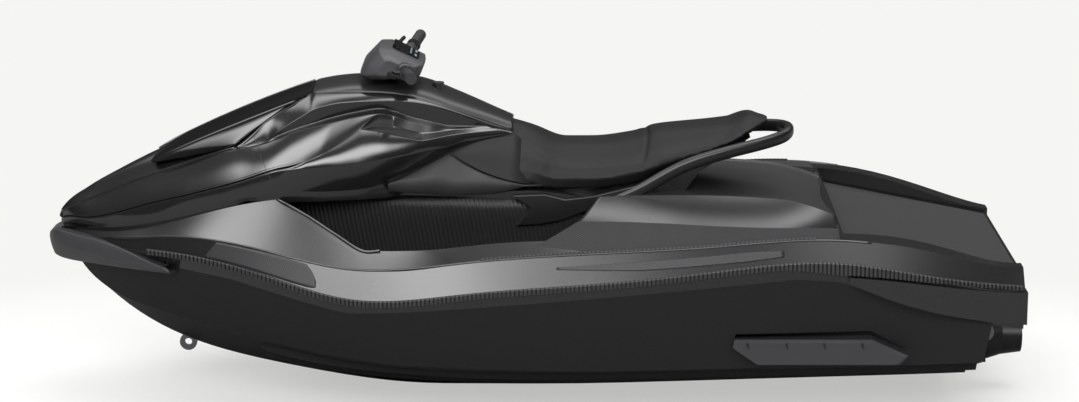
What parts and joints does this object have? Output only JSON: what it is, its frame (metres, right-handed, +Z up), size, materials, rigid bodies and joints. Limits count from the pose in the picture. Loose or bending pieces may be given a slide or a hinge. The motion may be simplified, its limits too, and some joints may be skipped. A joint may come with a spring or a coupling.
{
  "type": "electric personal watercraft",
  "caption": "Compact black electric personal watercraft with a stepped saddle, steering bars, hinged front hood, ramped footwells, stern boarding deck and a steerable water-jet pump.",
  "frame": {"origin": "on the centreline amidships, at the waterline", "axes": "+X forward to the bow, +Y to port, +Z up"},
  "size_m": [2.9148, 1.1882, 1.0561],
  "materials": {
    "hull_shell": "satin black composite with a fine weave",
    "deck_shell": "gloss black composite with a fine weave",
    "gloss_cowl": "gloss black paint",
    "visor_gloss": "deep gloss black",
    "satin_trim": "satin black moulding",
    "rub_rubber": "ribbed black rubber",
    "grip_rubber": "soft matte rubber",
    "mat_foam": "matte foam matting with diagonal grooves",
    "pad_rubber": "ribbed matte padding",
    "seat_vinyl": "matte marine vinyl",
    "rail_tube": "satin black coating",
    "screen_glass": "dark display glass",
    "black_metal": "black anodised",
    "bright_steel": "stainless"
  },
  "bodies": {
    "hull": {"battery_pack": "black_metal", "bow_bumper": "satin_trim", "bow_eye": "bright_steel", "console": "satin_trim", "deck": "deck_shell", "drive_motor": "black_metal", "footwell_mat_left": "mat_foam", "footwell_mat_right": "mat_foam", "grab_rail": "rail_tube", "hood_hinge": "black_metal", "hull": "hull_shell", "intake_grate": "bright_steel", "knee_pad_left": "pad_rubber", "knee_pad_right": "pad_rubber", "lanyard_post": "rub_rubber", "nose_panel_left": "gloss_cowl", "nose_panel_right": "gloss_cowl", "pump_housing": "black_metal", "rear_deck_mat": "mat_foam", "ride_plate": "satin_trim", "rub_rail_left": "rub_rubber", "rub_rail_right": "rub_rubber", "seat": "seat_vinyl", "seat_base": "deck_shell", "side_deck_mat_left": "mat_foam", "side_deck_mat_right": "mat_foam", "side_fairing_left": "gloss_cowl", "side_fairing_right": "gloss_cowl", "side_vent_left": "satin_trim", "side_vent_right": "satin_trim", "sponson_left": "satin_trim", "sponson_right": "satin_trim", "stern_bumper": "deck_shell", "stern_eye_left": "bright_steel", "stern_eye_right": "bright_steel"},
    "handlebar": {"steering_column": "black_metal", "handlebar_pod": "satin_trim", "display_screen": "screen_glass", "handlebar": "black_metal", "grip_left": "grip_rubber", "grip_right": "grip_rubber", "switch_pod_left": "satin_trim", "switch_pod_right": "satin_trim", "reverse_lever": "black_metal", "throttle_lever": "black_metal"},
    "hood": {"hood": "gloss_cowl", "visor": "visor_gloss"},
    "impeller": {"impeller": "bright_steel", "drive_shaft": "bright_steel"},
    "nozzle": {"steering_nozzle": "black_metal"}
  },
  "joints": [
    {"name": "handlebar_steer", "type": "hinge", "parent": "hull", "child": "handlebar", "pos_m": [0.42485, 0, 0.682], "axis": [-0.1908, 0, 0.9816], "range_deg": [-35, 35]},
    {"name": "nozzle_steer", "type": "hinge", "parent": "hull", "child": "nozzle", "pos_m": [-1.3455, 0, -0.113], "axis": [0, 0, 1], "range_deg": [-22, 22]},
    {"name": "impeller_spin", "type": "hinge", "parent": "hull", "child": "impeller", "pos_m": [-1.08, 0, -0.113], "axis": [1, 0, 0], "continuous": true},
    {"name": "hood_open", "type": "hinge", "parent": "hull", "child": "hood", "pos_m": [1.3978, 0, 0.25], "axis": [0, 1, 0], "range_deg": [0, 55]}
  ],
  "couplings": [
    {"joint": "nozzle_steer", "follows": "handlebar_steer", "ratio": -0.6}
  ]
}
